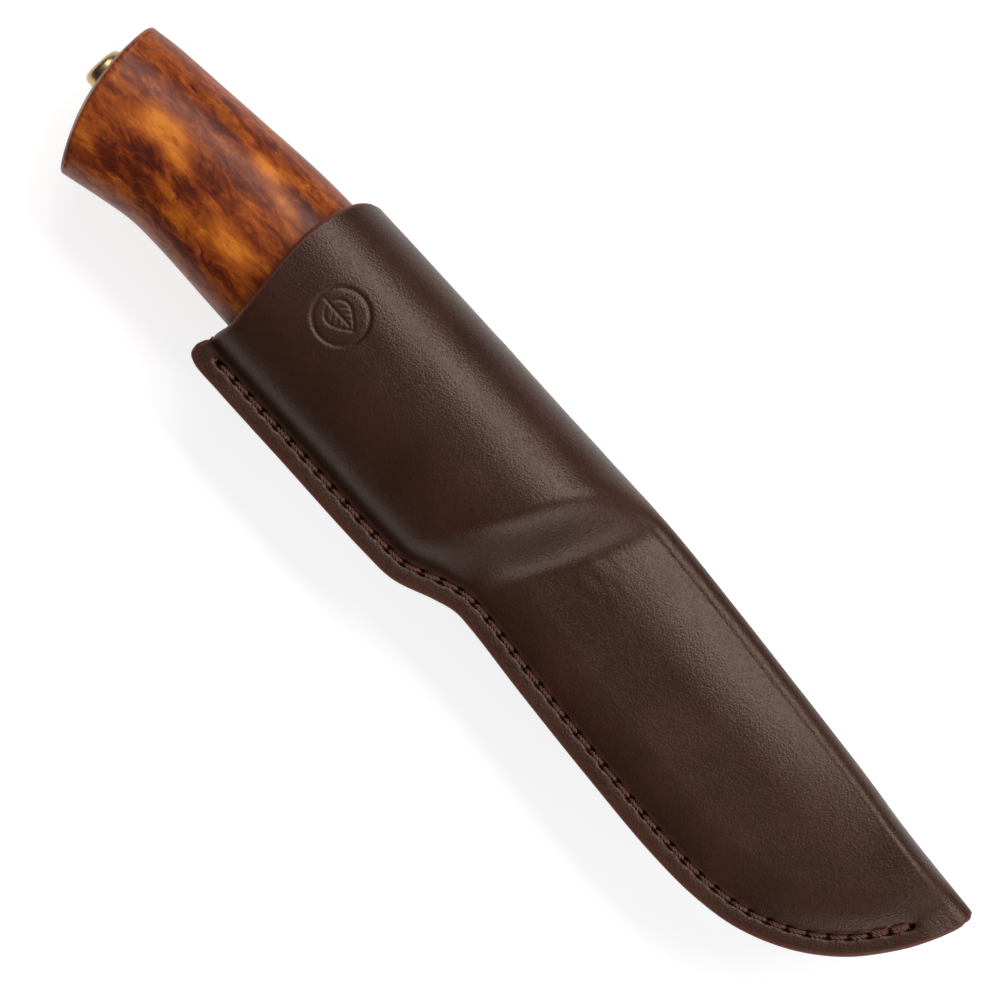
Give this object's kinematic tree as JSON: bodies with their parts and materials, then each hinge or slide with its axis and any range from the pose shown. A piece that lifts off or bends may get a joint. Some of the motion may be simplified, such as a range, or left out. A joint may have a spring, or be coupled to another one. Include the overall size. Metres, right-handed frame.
{
  "type": "sheath knife",
  "caption": "Fixed-blade wood carving knife with a curly birch handle, seated in a stitched leather pouch sheath with a belt loop; the knife draws straight out.",
  "frame": {"origin": "middle of the bottom of the whole sheathed knife's box, on the belt loop's flat back", "axes": "+X along the blade to its point, +Y towards the blade's spine, +Z out of the sheath's front face"},
  "size_m": [0.2346, 0.048, 0.0367],
  "materials": {
    "sheath_leather": "dark brown, fine pebble grain, semi-matt",
    "edge_leather": "burnished reddish cut edge",
    "loop_leather": "dark brown, smooth, semi-matt",
    "thread": "twisted reddish-brown thread",
    "birch": "oiled reddish-amber curly birch, satin",
    "brass": "polished, lightly tarnished",
    "steel": "satin ground"
  },
  "bodies": {
    "sheath": {"sheath_body": "sheath_leather", "welt": "edge_leather", "seam_thread_front": "thread", "seam_thread_back": "thread", "belt_loop": "loop_leather", "rivet_post_upper": "brass", "rivet_cap_upper": "brass", "rivet_post_lower": "brass", "rivet_cap_lower": "brass"},
    "knife": {"handle": "birch", "butt_cap": "brass", "bolster": "brass", "blade": "steel"}
  },
  "joints": [
    {"name": "knife_draw", "type": "slide", "parent": "sheath", "child": "knife", "axis": [-1, 0, 0], "range_m": [0, 0.175]}
  ]
}
